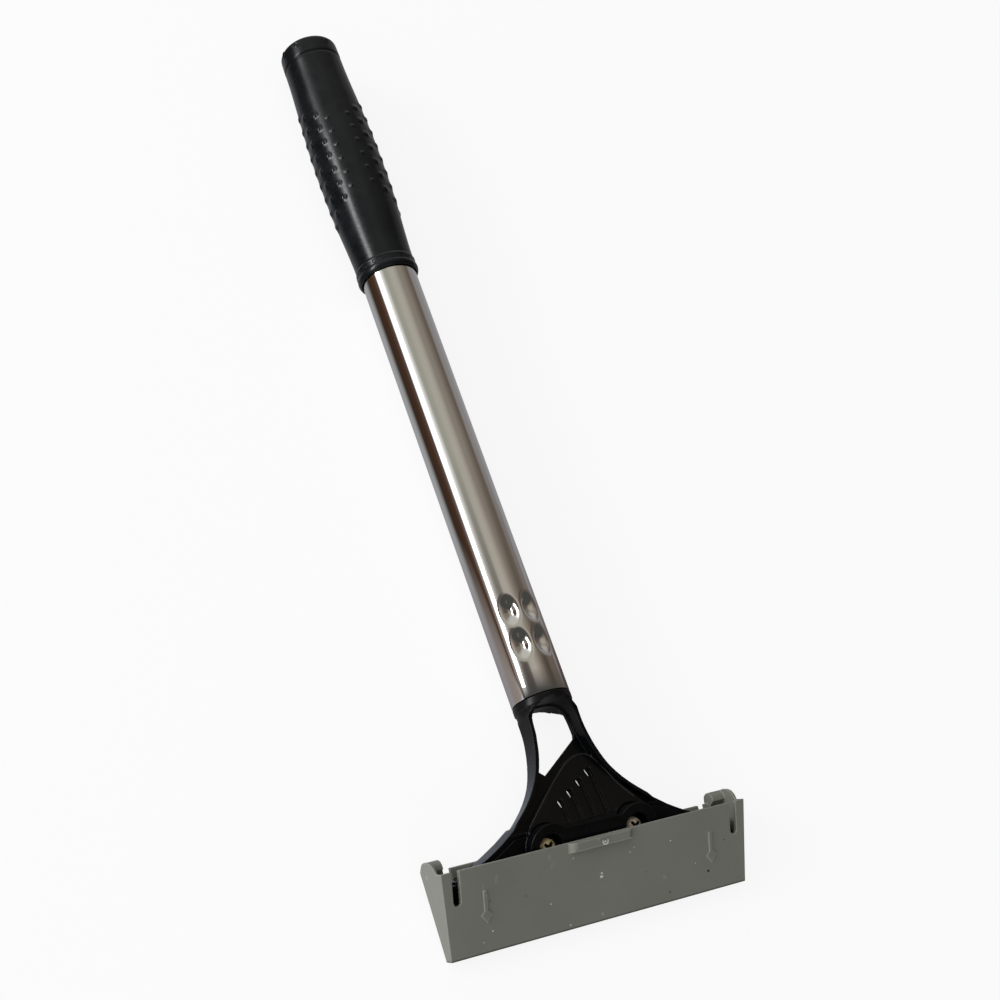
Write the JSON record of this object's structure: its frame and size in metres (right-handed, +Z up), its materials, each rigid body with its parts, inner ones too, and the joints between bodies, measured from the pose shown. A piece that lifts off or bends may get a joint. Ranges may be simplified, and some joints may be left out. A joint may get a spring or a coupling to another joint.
{
  "type": "window tint scraper",
  "caption": "Long-handled scraper with a wide clamped blade, a steel tube handle, a nubbed rubber grip and a slip-on blade guard.",
  "frame": {"origin": "middle of the base of the whole scraper, which lies on its back", "axes": "+X along the blade, +Y from the blade towards the grip's closed end, +Z up, on the side of the clamp screws"},
  "size_m": [0.105, 0.32, 0.0242],
  "materials": {
    "black_rubber": "satin moulded rubber",
    "polished_steel": "polished",
    "black_plastic": "semi-matt moulded",
    "blade_steel": "ground",
    "brass": "bright plated",
    "grey_plastic": "matt moulded"
  },
  "bodies": {
    "handle": {"grip": "black_rubber", "handle_tube": "polished_steel", "head": "black_plastic", "blade": "blade_steel", "left_nut": "brass", "right_nut": "brass"},
    "clamp": {"clamp_plate": "black_plastic"},
    "left_clamp_screw": {"left_screw": "brass"},
    "right_clamp_screw": {"right_screw": "brass"},
    "guard": {"blade_guard": "grey_plastic"}
  },
  "joints": [
    {"name": "guard_slide", "type": "slide", "parent": "handle", "child": "guard", "axis": [0, -0.9537, -0.3007], "range_m": [0, 0.03]},
    {"name": "clamp_lift", "type": "slide", "parent": "handle", "child": "clamp", "axis": [0, -0.3007, 0.9537], "range_m": [0, 0.00075]},
    {"name": "left_screw_turn", "type": "hinge", "parent": "clamp", "child": "left_clamp_screw", "pos_m": [-0.015, -0.13601, 0.01002], "axis": [0, -0.3007, 0.9537], "range_deg": [0, 540]},
    {"name": "right_screw_turn", "type": "hinge", "parent": "clamp", "child": "right_clamp_screw", "pos_m": [0.015, -0.13601, 0.01002], "axis": [0, -0.3007, 0.9537], "range_deg": [0, 540]}
  ],
  "couplings": [
    {"joint": "left_screw_turn", "follows": "clamp_lift", "rad_per_m": 12560},
    {"joint": "right_screw_turn", "follows": "clamp_lift", "rad_per_m": 12560}
  ]
}
